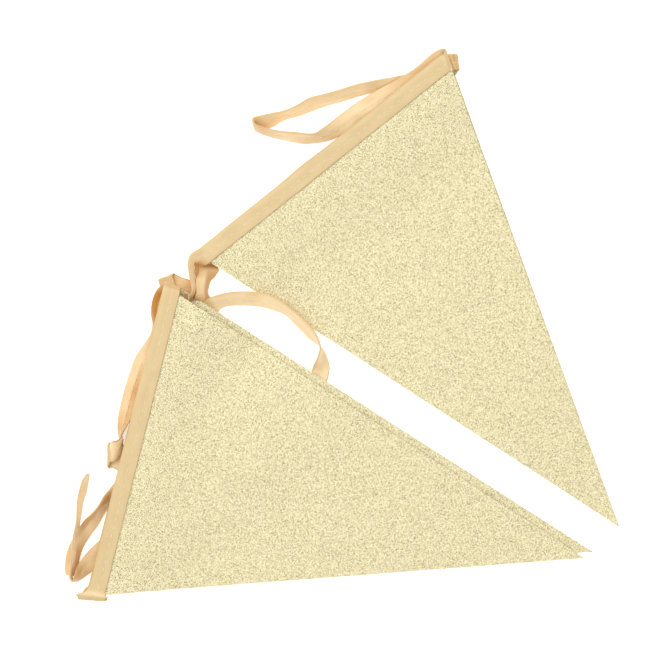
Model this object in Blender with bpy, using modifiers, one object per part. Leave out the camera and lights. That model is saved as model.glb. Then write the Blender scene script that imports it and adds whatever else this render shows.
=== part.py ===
"""Fabric bunting, put down in two small stacks.

Four triangular glitter-cloth pennants hang on one folded binding tape. The tape is a flat ribbon
folded lengthwise in two: each pennant's short edge sits in the slot between its two plies, and
between the pennants and at both ends the folded tape runs free.

Units are metres. +Z is up, x runs to the right and y to the back of the flat lay. The origin is on
the surface that the bunting lies on, under the middle of its outline.
"""

import math
from typing import NamedTuple

import bmesh
import bpy
from mathutils import Matrix, Vector

MM = 0.001
PLAN_CENTRE = Vector((-0.95, -0.55, 0.0))  # what the tables below call the middle of the outline

# The tape: one ribbon folded lengthwise. Sizes in millimetres.
TAPE_WIDTH = 9.2  # across the folded tape where it runs free
TAPE_PLY = 0.5
FREE_GAP = 0.3  # between the two plies where nothing is between them
FOLD_WALL = 0.8  # tape outside the slot, at its folded edge
LONGEST_STEP = 5.0  # between two sections of the loft
LARGEST_TURN = 14.0  # degrees between two sections
FOLD_SECTIONS = 5  # sections round one flat fold
OVER_SURFACE = 0.05  # least height of the tape over the surface

# The pennants.
CLOTH = 1.0
CLEAR = 0.3  # between a pennant and each ply that holds it
SLOT_GAP = CLOTH + 2 * CLEAR
STACK_GAP = 0.45  # between a pennant and the one that it lies on
TUCK = 6.6  # how far a pennant's short edge reaches into the tape
CORNER_TRIM = 3.6  # taken off each tucked corner
DRAPE = 46.0  # a pennant comes down from its binding over this distance
FREED = 12.0  # within this distance its binding decides its height
CELLS_ACROSS = 14
CELLS_ALONG = 16

# Where a strand of tape lies under a stack, the stack rides over it.
STRAND_RIDGE = 1.75  # height of the ridge over one hidden layer of tape
RIDGE_FLAT = 13.0  # half width of the ridge's top
RIDGE_SLOPE = 26.0  # width of each of its flanks
CORNER_LIFT = 3.8  # the lower stack's corner lies on two layers of tape
CORNER_FLAT = 8.0
CORNER_SLOPE = 26.0


class Pennant(NamedTuple):
    """One pennant: its two corners at the tape's open edge and its tip, in plan."""

    name: str
    far_corner: tuple
    near_corner: tuple
    tip: tuple
    binding: str
    under: str


PENNANTS = (
    Pennant("pennant_right_lower", (57.5, 134.5), (-67.5, 34.4), (146.6, -107.0), "right_lower", ""),
    Pennant("pennant_right_upper", (56.7, 134.7), (-70.3, 33.7), (146.4, -106.7), "right_upper",
            "pennant_right_lower"),
    Pennant("pennant_left_lower", (-85.8, 18.8), (-126.6, -139.4), (132.6, -120.7), "left_lower", ""),
    Pennant("pennant_left_upper", (-86.5, 15.6), (-126.1, -142.7), (128.3, -123.4), "left_upper",
            "pennant_left_lower"),
)

# Middle height of the tape at the far and the near corner of each pennant.
BINDING_HEIGHT = {
    "right_lower": (3.0, 3.4),
    "right_upper": (7.9, 6.7),
    "left_lower": (3.6, 3.3),
    "left_upper": (9.2, 6.4),
}


class Row(NamedTuple):
    """One section of the tape.

    x, y    its middle in plan
    lift    height of its lowest edge
    toward  plan direction, in degrees, from its middle to its folded edge
    lean    how far the folded edge stands up, in degrees: 0 lies flat, 90 is on edge
    """

    x: float
    y: float
    lift: float
    toward: float
    lean: float = 0.0


class Fold(NamedTuple):
    """A flat fold: the tape turns over its own cross line and goes back above or below itself.

    opens   whether its slot opens on the way, for a pennant that follows at once
    """

    x: float
    y: float
    start_height: float
    end_height: float
    toward: float
    opens: bool = False


class Bound(NamedTuple):
    """A straight stretch that holds a pennant, from one corner to the other."""

    binding: str
    start: tuple
    end: tuple
    toward: float
    bow: float = 0.0


FRONT_TAIL = (
    #    x       y     lift  toward lean
    Row(-136.0, -81.8, 0.3, 233.0, 50.0),
    Row(-138.0, -91.2, 0.8, 172.0, 72.0),
    Row(-139.6, -102.3, 4.0, 172.0, 82.0),
    Row(-141.2, -113.0, 4.6, 168.0, 84.0),
    Row(-142.2, -123.4, 2.9, 175.0, 86.0),
    Row(-142.6, -131.4, 1.2, 172.0, 88.0),
    Row(-142.5, -134.4, 1.0, 160.0, 89.0),
    Row(-141.2, -136.0, 0.9, 150.0, 89.0),
    Row(-139.4, -134.2, 0.6, 138.0, 76.0),
    Row(-137.2, -130.6, 0.4, 134.0, 46.0),
    Row(-133.6, -125.2, 0.1, 131.0, 16.0),
    Row(-129.5, -120.7, 0.1, 130.0),
    Row(-122.0, -114.6, 0.1, 128.0),
)

UNDER_LEFT_STACK = (
    Row(-102.0, -99.6, 0.1, 127.0),
    Row(-62.2, -70.0, 0.1, 127.0),
    Row(-25.1, -43.5, 0.1, 130.0),
)

MIDDLE_LOOP = (
    Row(-13.6, -30.6, 0.1, 155.0),
    Row(-11.7, -24.6, 0.1, 170.0, 3.0),
    Row(-10.9, -18.6, 0.4, 188.0, 48.0),
    Row(-11.6, -11.8, 0.7, 200.0, 88.0),
    Row(-16.4, -5.0, 1.0, 45.0, 60.0),
    Row(-22.5, 1.6, 1.2, 51.0, 57.0),
    Row(-28.8, 7.4, 1.4, 54.0, 60.0),
    Row(-35.9, 11.3, 1.4, 62.0, 48.0),
    Row(-41.4, 13.2, 1.4, 75.0, 43.0),
    Row(-46.6, 14.0, 1.2, 86.0, 42.0),
    Row(-55.3, 14.2, 1.0, 96.0, 40.0),
    Row(-62.4, 12.9, 1.5, 112.0, 20.0),
    Row(-67.2, 11.0, 2.0, 122.0, 2.0),
)

TO_RIGHT_STACK = (
    Fold(-72.2, 8.9, 2.7, 0.75, 148.0),
    Row(-72.2, 14.2, 0.1, 162.0, 2.0),
    Row(-72.0, 18.8, 0.3, 178.0, 32.0),
    Row(-71.4, 23.2, 0.4, 180.0, 32.0),
    Row(-71.0, 27.6, 0.6, 172.0, 14.0),
    Row(-71.4, 32.0, 1.1, 156.0, 2.0),
)

UPPER_LOOP = (
    Fold(59.2, 137.4, 3.0, 0.75, 120.0),
    Row(51.7, 135.6, 0.1, 107.0),
    Row(35.8, 131.2, 0.1, 107.0),
    Row(25.0, 127.8, 0.1, 107.0),
    Row(13.6, 124.8, 0.3, 104.0, 40.0),
    Row(-0.2, 121.2, 0.4, 105.0, 50.0),
    Row(-9.0, 118.9, 0.4, 106.0, 49.0),
    Row(-16.9, 116.6, 0.4, 110.0, 48.0),
    Row(-23.5, 113.4, 0.4, 112.0, 60.0),
    Row(-31.2, 110.7, 0.4, 106.0, 66.0),
    Row(-41.2, 108.6, 0.3, 100.0, 54.0),
    Row(-45.6, 108.0, 0.2, 110.0, 80.0),
    Row(-47.2, 106.2, 0.2, 120.0, 89.0),
    Row(-45.8, 104.2, 0.2, 110.0, 88.0),
    Row(-42.4, 102.6, 0.2, 95.0, 82.0),
    Row(-31.5, 100.4, 0.3, 82.0, 68.0),
    Row(-22.5, 99.0, 0.3, 88.0, 64.0),
    Row(-14.0, 99.6, 0.3, 105.0, 60.0),
    Row(-7.4, 102.2, 0.3, 118.0, 38.0),
    Row(0.4, 107.3, 0.9, 127.0, 10.0),
    Row(9.4, 113.6, 4.5, 128.6),
    Row(20.3, 120.4, 4.62, 127.0),
    Row(33.2, 127.0, 4.7, 125.0),
    Row(49.0, 137.6, 4.6, 123.0),
    Fold(55.8, 141.2, 5.25, 7.95, 120.0),
)

KNOT = (
    Row(-78.4, 32.2, 4.4, 142.0, 26.0),
    Row(-80.6, 27.8, 3.0, 172.0, 50.0),
    Row(-80.6, 23.8, 2.0, 186.0, 40.0),
    Row(-80.4, 20.6, 1.6, 206.0),
    Fold(-80.8, 16.8, 2.25, 0.75, 221.0),
    Row(-85.6, 19.4, 0.1, 238.0),
    Fold(-91.4, 22.0, 0.75, 3.6, 205.0, True),
)

STACK_FOLD = (Fold(-134.0, -144.4, 3.3, 6.4, 160.0),)

REAR_TAIL = (
    Fold(-89.4, 21.2, 9.2, 6.3, 160.0),
    Row(-93.6, 11.6, 5.6, 158.0),
    Row(-97.0, 3.6, 5.5, 163.0),
    Row(-99.6, -5.0, 5.4, 158.0),
    Row(-103.6, -13.8, 5.5, 152.0),
    Row(-108.4, -20.0, 0.9, 153.0, -36.0),
    Row(-110.0, -25.4, 0.3, 155.0, -46.0),
    Row(-112.6, -34.5, 0.3, 162.0, -52.0),
    Row(-114.9, -43.5, 0.3, 166.0, -52.0),
    Row(-116.5, -50.9, 0.3, 170.0, -60.0),
    Row(-117.4, -56.4, 0.5, 172.0, -82.0),
    Row(-117.5, -60.4, 0.9, 225.0, -86.0),
    Row(-117.9, -63.6, 1.6, 280.0, -76.0),
    Row(-119.4, -65.8, 2.4, 284.0, -46.0),
    Row(-121.6, -67.6, 2.6, 276.0, -14.0),
    Fold(-124.2, -69.4, 3.0, 0.75, 270.0),
    Row(-120.4, -71.4, 0.1, 258.0),
    Row(-115.6, -74.0, 0.1, 235.0),
    Row(-113.2, -79.6, 0.1, 182.0),
    Row(-115.4, -85.4, 0.1, 150.0),
    Row(-120.0, -89.6, 0.1, 141.0),
    Row(-125.0, -94.6, 0.1, 140.0, 2.0),
    Row(-128.8, -98.8, 0.3, 140.0, 26.0),
    Row(-132.4, -103.0, 0.3, 140.0, 28.0),
    Row(-138.2, -110.8, 0.2, 144.0, 8.0),
    Row(-143.2, -117.8, 0.2, 160.0, 20.0),
    Row(-145.2, -122.4, 0.2, 172.0, 62.0),
    Row(-145.9, -127.4, 0.2, 178.0, 76.0),
    Row(-145.7, -132.2, 0.2, 172.0, 76.0),
)

BOUND_RIGHT_LOWER = Bound("right_lower", (-70.4, 37.6), (55.4, 138.1), 128.6, 1.6)
BOUND_RIGHT_UPPER = Bound("right_upper", (54.6, 138.7), (-73.2, 36.6), 128.6)
BOUND_LEFT_LOWER = Bound("left_lower", (-91.1, 12.3), (-130.4, -139.8), 165.9)
BOUND_LEFT_UPPER = Bound("left_upper", (-130.2, -142.2), (-90.6, 16.8), 166.0)


class Section(NamedTuple):
    """A section of the tape in space: middle, direction of its folded edge and slot gap."""

    middle: Vector
    ruling: Vector
    gap: float


def ruling_of(toward, lean=0.0):
    """Unit vector from a section's middle to its folded edge."""
    plan, rise = math.radians(toward), math.radians(lean)
    return Vector((math.cos(plan) * math.cos(rise), math.sin(plan) * math.cos(rise), math.sin(rise)))


def section_of_row(row):
    half_thickness = TAPE_PLY + FREE_GAP / 2
    rise = math.radians(row.lean)
    height = row.lift + half_thickness * abs(math.cos(rise)) + TAPE_WIDTH / 2 * abs(math.sin(rise))
    return Section(Vector((row.x, row.y, height)), ruling_of(row.toward, row.lean), FREE_GAP)


def sections_of_fold(fold, came_from):
    """Sections round a half circle that stands on the fold's cross line."""
    ruling = ruling_of(fold.toward)
    rise = (fold.end_height - fold.start_height) / 2
    radius = abs(rise)
    centre_height = (fold.start_height + fold.end_height) / 2
    crest = Vector((fold.x, fold.y, 0.0))
    arriving = crest - Vector((came_from.x, came_from.y, 0.0))
    along = arriving.dot(ruling)
    outward = arriving - along * ruling
    shear = along / outward.length
    outward.normalize()
    sections = []
    for step in range(FOLD_SECTIONS):
        angle = math.pi * (step / (FOLD_SECTIONS - 1) - 0.5)
        place = crest + outward * radius * (math.cos(angle) - 1) + ruling * shear * radius * angle
        place.z = centre_height + rise * math.sin(angle)
        opened = max(math.sin(angle), 0.0) if fold.opens else 0.0
        sections.append(Section(place, ruling, FREE_GAP + (SLOT_GAP - FREE_GAP) * opened))
    return sections


def sections_of_bound(bound, heights):
    """Sections of a straight stretch; bow moves its middle third outwards."""
    start, end = Vector(bound.start), Vector(bound.end)
    ruling = ruling_of(bound.toward)
    sections = []
    for share in (0.0, 0.12, 0.28, 0.42, 0.56, 0.72, 0.88, 1.0):
        place = start.lerp(end, share)
        bulge = bound.bow * max(0.0, 1 - abs(share - 0.42) / 0.3)
        height = heights[0] + (heights[1] - heights[0]) * share
        middle = Vector((place.x, place.y, height)) + ruling * bulge
        sections.append(Section(middle, ruling, SLOT_GAP))
    return sections


def tape_sections():
    """Every stated section of the tape, from one free end to the other."""
    far, near = 0, 1
    route = [
        *FRONT_TAIL, *UNDER_LEFT_STACK, *MIDDLE_LOOP, *TO_RIGHT_STACK, BOUND_RIGHT_LOWER, *UPPER_LOOP,
        BOUND_RIGHT_UPPER, *KNOT, BOUND_LEFT_LOWER, *STACK_FOLD, BOUND_LEFT_UPPER, *REAR_TAIL,
    ]
    starts_near = {"right_lower", "left_upper"}
    sections = []
    for item in route:
        if isinstance(item, Row):
            sections.append(section_of_row(item))
        elif isinstance(item, Fold):
            sections.extend(sections_of_fold(item, sections[-1].middle))
        else:
            ends = BINDING_HEIGHT[item.binding]
            heights = (ends[near], ends[far]) if item.binding in starts_near else ends
            sections.extend(sections_of_bound(item, heights))
    return sections


def eased(before, start, end, after, pick, share):
    """Cubic between start and end whose slopes also heed their neighbours' distances."""
    spans = [
        math.sqrt(max((second.middle - first.middle).length, 0.3))
        for first, second in ((before, start), (start, end), (end, after))
    ]
    slopes = [
        (pick(second) - pick(first)) / span
        for (first, second), span in zip(((before, start), (start, end), (end, after)), spans)
    ]
    leaving = (slopes[0] * spans[1] + slopes[1] * spans[0]) / (spans[0] + spans[1]) * spans[1]
    arriving = (slopes[1] * spans[2] + slopes[2] * spans[1]) / (spans[1] + spans[2]) * spans[1]
    square, cube = share**2, share**3
    return (
        (2 * cube - 3 * square + 1) * pick(start)
        + (cube - 2 * square + share) * leaving
        + (3 * square - 2 * cube) * pick(end)
        + (cube - square) * arriving
    )


def fine_sections():
    """The stated sections with eased ones between them, close enough for the bends."""
    stated = tape_sections()
    fine = []
    for index in range(len(stated) - 1):
        start, end = stated[index], stated[index + 1]
        before = stated[max(index - 1, 0)]
        after = stated[min(index + 2, len(stated) - 1)]
        length = (end.middle - start.middle).length
        turn = math.degrees(start.ruling.angle(end.ruling))
        straight = start.gap == SLOT_GAP == end.gap
        parts = max(1, math.ceil(max(0.0 if straight else length / LONGEST_STEP, turn / LARGEST_TURN)))
        for part in range(parts):
            share = part / parts
            middle = eased(before, start, end, after, lambda section: section.middle, share)
            ruling = eased(before, start, end, after, lambda section: section.ruling, share)
            gap = start.gap + (end.gap - start.gap) * share
            fine.append(Section(middle, ruling.normalized(), gap))
    fine.append(stated[-1])
    return fine


TOWARD_OPEN_EDGE = (2, 6)  # sides of the profile that run from the folded to the open edge


def tape_profile(gap, width):
    """The folded ribbon across: a U of two plies, open at the side away from the fold."""
    half, slot = width / 2, gap / 2
    outer = slot + TAPE_PLY
    return (
        (-half, outer), (half, outer), (half, -outer), (-half, -outer),
        (-half, -slot), (half - FOLD_WALL, -slot), (half - FOLD_WALL, slot), (-half, slot),
    )


def build_tape(mesh):
    """Loft of the folded ribbon through all its sections."""
    sections = fine_sections()
    shape = bmesh.new()
    rings = []
    for index, section in enumerate(sections):
        ahead = sections[min(index + 1, len(sections) - 1)].middle
        behind = sections[max(index - 1, 0)].middle
        travel = (ahead - behind).normalized()
        normal = travel.cross(section.ruling).normalized()
        slant = math.sqrt(max(1 - travel.dot(section.ruling) ** 2, 0.3))
        width = (TAPE_WIDTH - (section.gap - FREE_GAP) / 2) / slant
        reach_down = abs(section.ruling.z) * width / 2 + abs(normal.z) * (TAPE_PLY + section.gap / 2)
        middle = section.middle.copy()
        middle.z = max(middle.z, reach_down + OVER_SURFACE)
        rings.append([
            shape.verts.new((middle + section.ruling * across + normal * up) * MM)
            for across, up in tape_profile(section.gap, width)
        ])
    for first, second in zip(rings, rings[1:]):
        for corner in range(len(first)):
            following = (corner + 1) % len(first)
            if corner in TOWARD_OPEN_EDGE:
                shape.faces.new((first[corner], first[following], second[corner]))
                shape.faces.new((first[following], second[following], second[corner]))
            else:
                shape.faces.new((first[corner], first[following], second[following]))
                shape.faces.new((first[corner], second[following], second[corner]))
    for ring in (rings[0], rings[-1]):
        upper, fold, lower = (0, 1, 6, 7), (1, 2, 5, 6), (2, 3, 4, 5)
        for corners in (upper, fold, lower):
            shape.faces.new([ring[corner] for corner in corners])
    bmesh.ops.recalc_face_normals(shape, faces=shape.faces)
    shape.to_mesh(mesh)
    shape.free()


def falling(distance, flat, slope):
    """1 out to flat, then down to 0 over slope, with soft ends."""
    share = min(max((distance - flat) / slope, 0.0), 1.0)
    return 1 - share * share * (3 - 2 * share)


def distance_to_run(point, run):
    """Plan distance from a point to a chain of straight lines."""
    nearest = math.inf
    for first, second in zip(run, run[1:]):
        along = second - first
        share = min(max((point - first).dot(along) / along.length_squared, 0.0), 1.0)
        nearest = min(nearest, (point - first - along * share).length)
    return nearest


def lift_over_strands(point):
    """How far the left stack rides up over the tape that runs beneath it."""
    run = [Vector((row.x, row.y)) for row in (*FRONT_TAIL[-2:], *UNDER_LEFT_STACK, MIDDLE_LOOP[0])]
    ridge = STRAND_RIDGE * falling(distance_to_run(point, run), RIDGE_FLAT, RIDGE_SLOPE)
    knot = Vector((TO_RIGHT_STACK[0].x, TO_RIGHT_STACK[0].y))
    corner = CORNER_LIFT * falling((point - knot).length, CORNER_FLAT, CORNER_SLOPE)
    return ridge, corner


def pennant_height(pennant, point, share_across, drop):
    """Middle height of a pennant at a plan point that lies drop away from its binding."""
    far, near = BINDING_HEIGHT[pennant.binding]
    held = far + (near - far) * share_across
    draping = falling(drop, 0.0, DRAPE)
    if pennant.under:
        below = next(other for other in PENNANTS if other.name == pennant.under)
        under_far, under_near = BINDING_HEIGHT[below.binding]
        under_held = under_far + (under_near - under_far) * share_across
        rest = pennant_height(below, point, share_across, drop)
        return rest + STACK_GAP + CLOTH + (held - under_held - STACK_GAP - CLOTH) * draping
    if not pennant.binding.startswith("left"):
        return CLOTH / 2 + (held - CLOTH / 2) * draping
    free = 1 - falling(drop, 0.0, FREED)
    rises = [(held - CLOTH / 2) * draping] + [rise * free for rise in lift_over_strands(point)]
    return CLOTH / 2 + sum(rise**4 for rise in rises) ** 0.25


def build_pennant(mesh, pennant):
    """The middle surface of a pennant, as a grid that narrows to its tip."""
    far, near, tip = (Vector(corner) for corner in (pennant.far_corner, pennant.near_corner, pennant.tip))
    base = near - far
    along_base = base.normalized()
    middle = (far + near) / 2
    inward = (tip - middle) - (tip - middle).dot(along_base) * along_base
    reach = inward.length
    inward.normalize()
    shape = bmesh.new()
    rows = []
    steps = [-TUCK / reach, 0.0]
    steps += [((row + 1) / CELLS_ALONG) ** 1.15 for row in range(CELLS_ALONG - 1)]
    for share in steps:
        if share < 0:
            left = far + along_base * CORNER_TRIM - inward * TUCK
            right = near - along_base * CORNER_TRIM - inward * TUCK
        else:
            left, right = far.lerp(tip, share), near.lerp(tip, share)
        row = []
        for cell in range(CELLS_ACROSS + 1):
            place = left.lerp(right, cell / CELLS_ACROSS)
            from_far = min(max((place - far).dot(along_base) / base.length, 0.0), 1.0)
            drop = max((place - far).dot(inward), 0.0)
            height = pennant_height(pennant, place, from_far, drop)
            row.append(shape.verts.new(Vector((place.x, place.y, height)) * MM))
        rows.append(row)
    for first, second in zip(rows, rows[1:]):
        for cell in range(CELLS_ACROSS):
            shape.faces.new((first[cell], first[cell + 1], second[cell + 1], second[cell]))
    point = shape.verts.new(
        Vector((tip.x, tip.y, pennant_height(pennant, tip, 0.5, reach))) * MM
    )
    for cell in range(CELLS_ACROSS):
        shape.faces.new((rows[-1][cell], rows[-1][cell + 1], point))
    bmesh.ops.recalc_face_normals(shape, faces=shape.faces)
    shape.to_mesh(mesh)
    shape.free()


def make_material(name, colour, roughness, metallic):
    material = bpy.data.materials.new(name)
    material.use_nodes = True
    shader = material.node_tree.nodes["Principled BSDF"]
    shader.inputs["Base Color"].default_value = (*colour, 1.0)
    shader.inputs["Roughness"].default_value = roughness
    shader.inputs["Metallic"].default_value = metallic
    material.diffuse_color = (*colour, 1.0)
    return material


def add_part(name, build, material, parts, *arguments):
    mesh = bpy.data.meshes.new(name)
    build(mesh, *arguments)
    mesh.materials.append(material)
    part = bpy.data.objects.new(name, mesh)
    parts.objects.link(part)
    return part


def main():
    for leftover in list(bpy.data.objects):
        bpy.data.objects.remove(leftover)
    parts = bpy.data.collections.new("fabric_bunting")
    bpy.context.scene.collection.children.link(parts)
    glitter = (0.82, 0.72, 0.45)
    satin = (0.86, 0.60, 0.31)
    for pennant in PENNANTS:
        material = make_material(pennant.name, glitter, 0.55, 0.2)
        part = add_part(pennant.name, build_pennant, material, parts, pennant)
        thicken = part.modifiers.new("cloth", "SOLIDIFY")
        thicken.thickness = CLOTH * MM
        thicken.offset = 0.0
    add_part("binding_tape", build_tape, make_material("binding_tape", satin, 0.6, 0.0), parts)
    for part in parts.objects:
        part.data.transform(Matrix.Translation(-PLAN_CENTRE * MM))


main()
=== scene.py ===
"""Fabric bunting put down flat: glitter-cloth pennants on one folded satin ribbon.

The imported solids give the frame. Every cloth piece here is made again with its fine shape: the
pennants with their raw edges and glitter, and the ribbon with its two plies, rolled fold, puckers
and running stitch. Lengths in the tables are millimetres; meshes are metres.
"""

import logging
import math
from dataclasses import dataclass
from enum import Enum
from typing import NamedTuple

import bpy
from bpy.types import Material, Mesh, Node, NodeSocket, NodeTree, Object
from mathutils import Color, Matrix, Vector, noise


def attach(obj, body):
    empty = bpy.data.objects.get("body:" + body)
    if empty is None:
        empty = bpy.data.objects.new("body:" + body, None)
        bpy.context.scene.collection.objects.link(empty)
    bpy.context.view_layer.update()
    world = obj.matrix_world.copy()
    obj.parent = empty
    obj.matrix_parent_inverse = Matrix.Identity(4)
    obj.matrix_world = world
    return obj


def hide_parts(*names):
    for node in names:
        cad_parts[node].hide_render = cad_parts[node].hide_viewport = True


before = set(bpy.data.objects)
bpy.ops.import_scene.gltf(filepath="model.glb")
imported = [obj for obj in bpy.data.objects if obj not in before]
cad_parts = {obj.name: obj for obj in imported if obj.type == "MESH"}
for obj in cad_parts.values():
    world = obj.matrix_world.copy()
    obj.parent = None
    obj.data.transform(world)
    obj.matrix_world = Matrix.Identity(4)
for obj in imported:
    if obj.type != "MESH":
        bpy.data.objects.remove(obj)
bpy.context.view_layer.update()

LOG = logging.getLogger("bunting")
MM = 0.001
PLAN_CENTRE = Vector((-0.95, -0.55, 0.0))  # the middle of the tables' outline, in millimetres
BODY = "root"
WHITE = (1.0, 1.0, 1.0, 1.0)


# ---- small helpers


def linear(code: str) -> tuple[float, float, float, float]:
    """Turn an sRGB hex code, six digits after a #, into a linear colour with alpha 1."""
    colour = Color([int(code[place : place + 2], 16) / 255 for place in (1, 3, 5)])
    return (*colour.from_srgb_to_scene_linear(), 1.0)


def eased_step(value: float, low: float, high: float) -> float:
    """Rise softly from 0 at low to 1 at high."""
    share = min(max((value - low) / (high - low), 0.0), 1.0)
    return share * share * (3 - 2 * share)


def between(first: float, second: float, share: float) -> float:
    """Go straight from one number to another."""
    return first + (second - first) * share


def uneven(x: float, y: float, z: float) -> float:
    """Read smooth noise, between -1 and 1, at a place."""
    return noise.noise(Vector((x, y, z)))


def new_object(name: str, mesh: Mesh) -> Object:
    """Link a mesh, a lamp or a camera into the scene as an object at the origin.

    Args:
        name: its name.
        mesh: what it holds.

    Returns:
        The object.
    """
    piece = bpy.data.objects.new(name, mesh)
    bpy.context.scene.collection.objects.link(piece)
    return piece


def new_piece(name: str, points: list, edges: list, faces: list, *materials: Material) -> Object:
    """Make an object from its parts.

    Args:
        name: its name.
        points: its points in metres.
        edges: its loose edges.
        faces: its faces.
        materials: its materials, if any.

    Returns:
        The object.
    """
    mesh = bpy.data.meshes.new(name)
    mesh.from_pydata(points, edges, faces)
    for material in materials:
        mesh.materials.append(material)
    return new_object(name, mesh)


def mark(mesh: Mesh, name: str, values: list[float], kind: str = "FLOAT") -> None:
    """Store a named number, or a vector with its parts in a row, on each point of a mesh."""
    field = "vector" if kind == "FLOAT_VECTOR" else "value"
    mesh.attributes.new(name, kind, "POINT").data.foreach_set(field, values)


def made_plain(piece: Object) -> Object:
    """Turn a piece with modifiers into a plain mesh.

    Args:
        piece: the object whose modifiers are to be taken up into its mesh.

    Returns:
        The same object, with no modifier left.
    """
    bpy.context.view_layer.update()
    graph = bpy.context.evaluated_depsgraph_get()
    mesh = bpy.data.meshes.new_from_object(piece.evaluated_get(graph), depsgraph=graph)
    piece.modifiers.clear()
    piece.data = mesh
    mesh.name = piece.name
    return piece


class Graph:
    """A node tree in the making."""

    def __init__(self, tree: NodeTree) -> None:
        """Start with a tree that has no nodes yet."""
        self.tree = tree

    def feed(self, node: Node, links: dict) -> None:
        """Fill a node's inputs.

        Args:
            node: the node.
            links: input name or number, to an output socket or to a plain value.
        """
        for key, value in links.items():
            if isinstance(value, NodeSocket):
                self.tree.links.new(value, node.inputs[key])
            else:
                node.inputs[key].default_value = value

    def node(self, kind: str, links: dict | None = None, **settings: object) -> Node:
        """Add one node.

        Args:
            kind: the node's type name.
            links: what fills its inputs.
            settings: the node's own properties.

        Returns:
            The new node.
        """
        node = self.tree.nodes.new(kind)
        for key, value in settings.items():
            setattr(node, key, value)
        self.feed(node, links or {})
        return node

    def out(self, kind: str, links: dict | None = None, give: int | str = 0, **more: object) -> NodeSocket:
        """Add one node and give the output socket of that name or number."""
        return self.node(kind, links, **more).outputs[give]

    def times(self, first: NodeSocket, second: NodeSocket | float) -> NodeSocket:
        """Multiply two numbers."""
        return self.out("ShaderNodeMath", {0: first, 1: second}, operation="MULTIPLY")


class Look(Graph):
    """A material in the making, with one Principled shader."""

    def __init__(self, name: str) -> None:
        """Start the material.

        Args:
            name: its name.
        """
        self.material = bpy.data.materials.new(name)
        self.material.use_nodes = True
        super().__init__(self.material.node_tree)
        self.tree.nodes.clear()
        self.shader = self.node("ShaderNodeBsdfPrincipled")
        self.node("ShaderNodeOutputMaterial", {"Surface": self.shader.outputs["BSDF"]})

    def place(self) -> NodeSocket:
        """Give the place on the object, in metres."""
        return self.out("ShaderNodeTexCoord", give="Object")

    def stored(self, name: str) -> NodeSocket:
        """Give a number that the mesh stores under a name."""
        return self.out("ShaderNodeAttribute", give="Fac", attribute_name=name)

    def mottle(self, place: NodeSocket, scale: float, **inputs: object) -> NodeSocket:
        """Give cloudy noise of a scale at a place."""
        return self.out("ShaderNodeTexNoise", {"Vector": place, "Scale": scale, **inputs}, "Fac")

    def bands(self, place: NodeSocket, pitch: float, distortion: float, direction: str) -> NodeSocket:
        """Give wavy bands a pitch apart; the texture turns 20 radians for each unit of its scale."""
        links = {"Vector": place, "Scale": 2 * math.pi / (20 * pitch), "Distortion": distortion}
        return self.out("ShaderNodeTexWave", links, "Fac", bands_direction=direction)

    def ramp(self, factor: NodeSocket, *steps: tuple[float, str]) -> NodeSocket:
        """Turn a factor into a colour.

        Args:
            factor: the factor.
            steps: place and hex code of each stop.

        Returns:
            The colour.
        """
        node = self.node("ShaderNodeValToRGB", {"Fac": factor})
        stops = node.color_ramp.elements
        while len(stops) < len(steps):
            stops.new(1.0)
        for stop, (place, code) in zip(stops, steps):
            stop.position = place
            stop.color = linear(code)
        return node.outputs["Color"]

    def mixed(self, factor: NodeSocket, first: NodeSocket, second: NodeSocket | tuple) -> NodeSocket:
        """Mix two colours, which are the node's inputs 6 and 7 and its output 2."""
        return self.out("ShaderNodeMix", {"Factor": factor, 6: first, 7: second}, 2, data_type="RGBA")

    def bump(self, height: NodeSocket, strength: float, depth_mm: float) -> NodeSocket:
        """Give the normal of a fine relief."""
        return self.out("ShaderNodeBump", {"Height": height, "Strength": strength, "Distance": depth_mm * MM})

    def finished(self, inputs: dict) -> Material:
        """Fill the shader's inputs and give the material."""
        self.feed(self.shader, inputs)
        return self.material


class Layout(Graph):
    """A geometry node tree in the making, which lays copies of a small shape on a piece."""

    def __init__(self, name: str) -> None:
        """Start the tree.

        Args:
            name: its name.
        """
        super().__init__(bpy.data.node_groups.new(name, "GeometryNodeTree"))
        for way in ("INPUT", "OUTPUT"):
            self.tree.interface.new_socket("Geometry", in_out=way, socket_type="NodeSocketGeometry")
        self.piece = self.node("NodeGroupInput").outputs["Geometry"]

    def named(self, name: str, kind: str) -> NodeSocket:
        """Give what the piece stores under a name."""
        return self.out("GeometryNodeInputNamedAttribute", {"Name": name}, "Attribute", data_type=kind)

    def chance(self, low: float, high: float, seed: int) -> NodeSocket:
        """Draw a number for each copy: the node's inputs 2 and 3 and its output 1 are numbers."""
        return self.out("FunctionNodeRandomValue", {2: low, 3: high, "Seed": seed}, 1, data_type="FLOAT")

    def run_on(self, piece: Object, copies: NodeSocket, material: Material) -> Object:
        """Make the laid copies real, dress them and keep them as the piece's plain mesh.

        Args:
            piece: the object the tree starts from.
            copies: the laid copies.
            material: their material.

        Returns:
            The same object, holding the copies.
        """
        real = self.out("GeometryNodeRealizeInstances", {"Geometry": copies})
        dressed = {"Geometry": real, "Material": material}
        self.node("NodeGroupOutput", {"Geometry": self.out("GeometryNodeSetMaterial", dressed)})
        piece.modifiers.new(self.tree.name, "NODES").node_group = self.tree
        return made_plain(piece)


# ---- finishes


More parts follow.
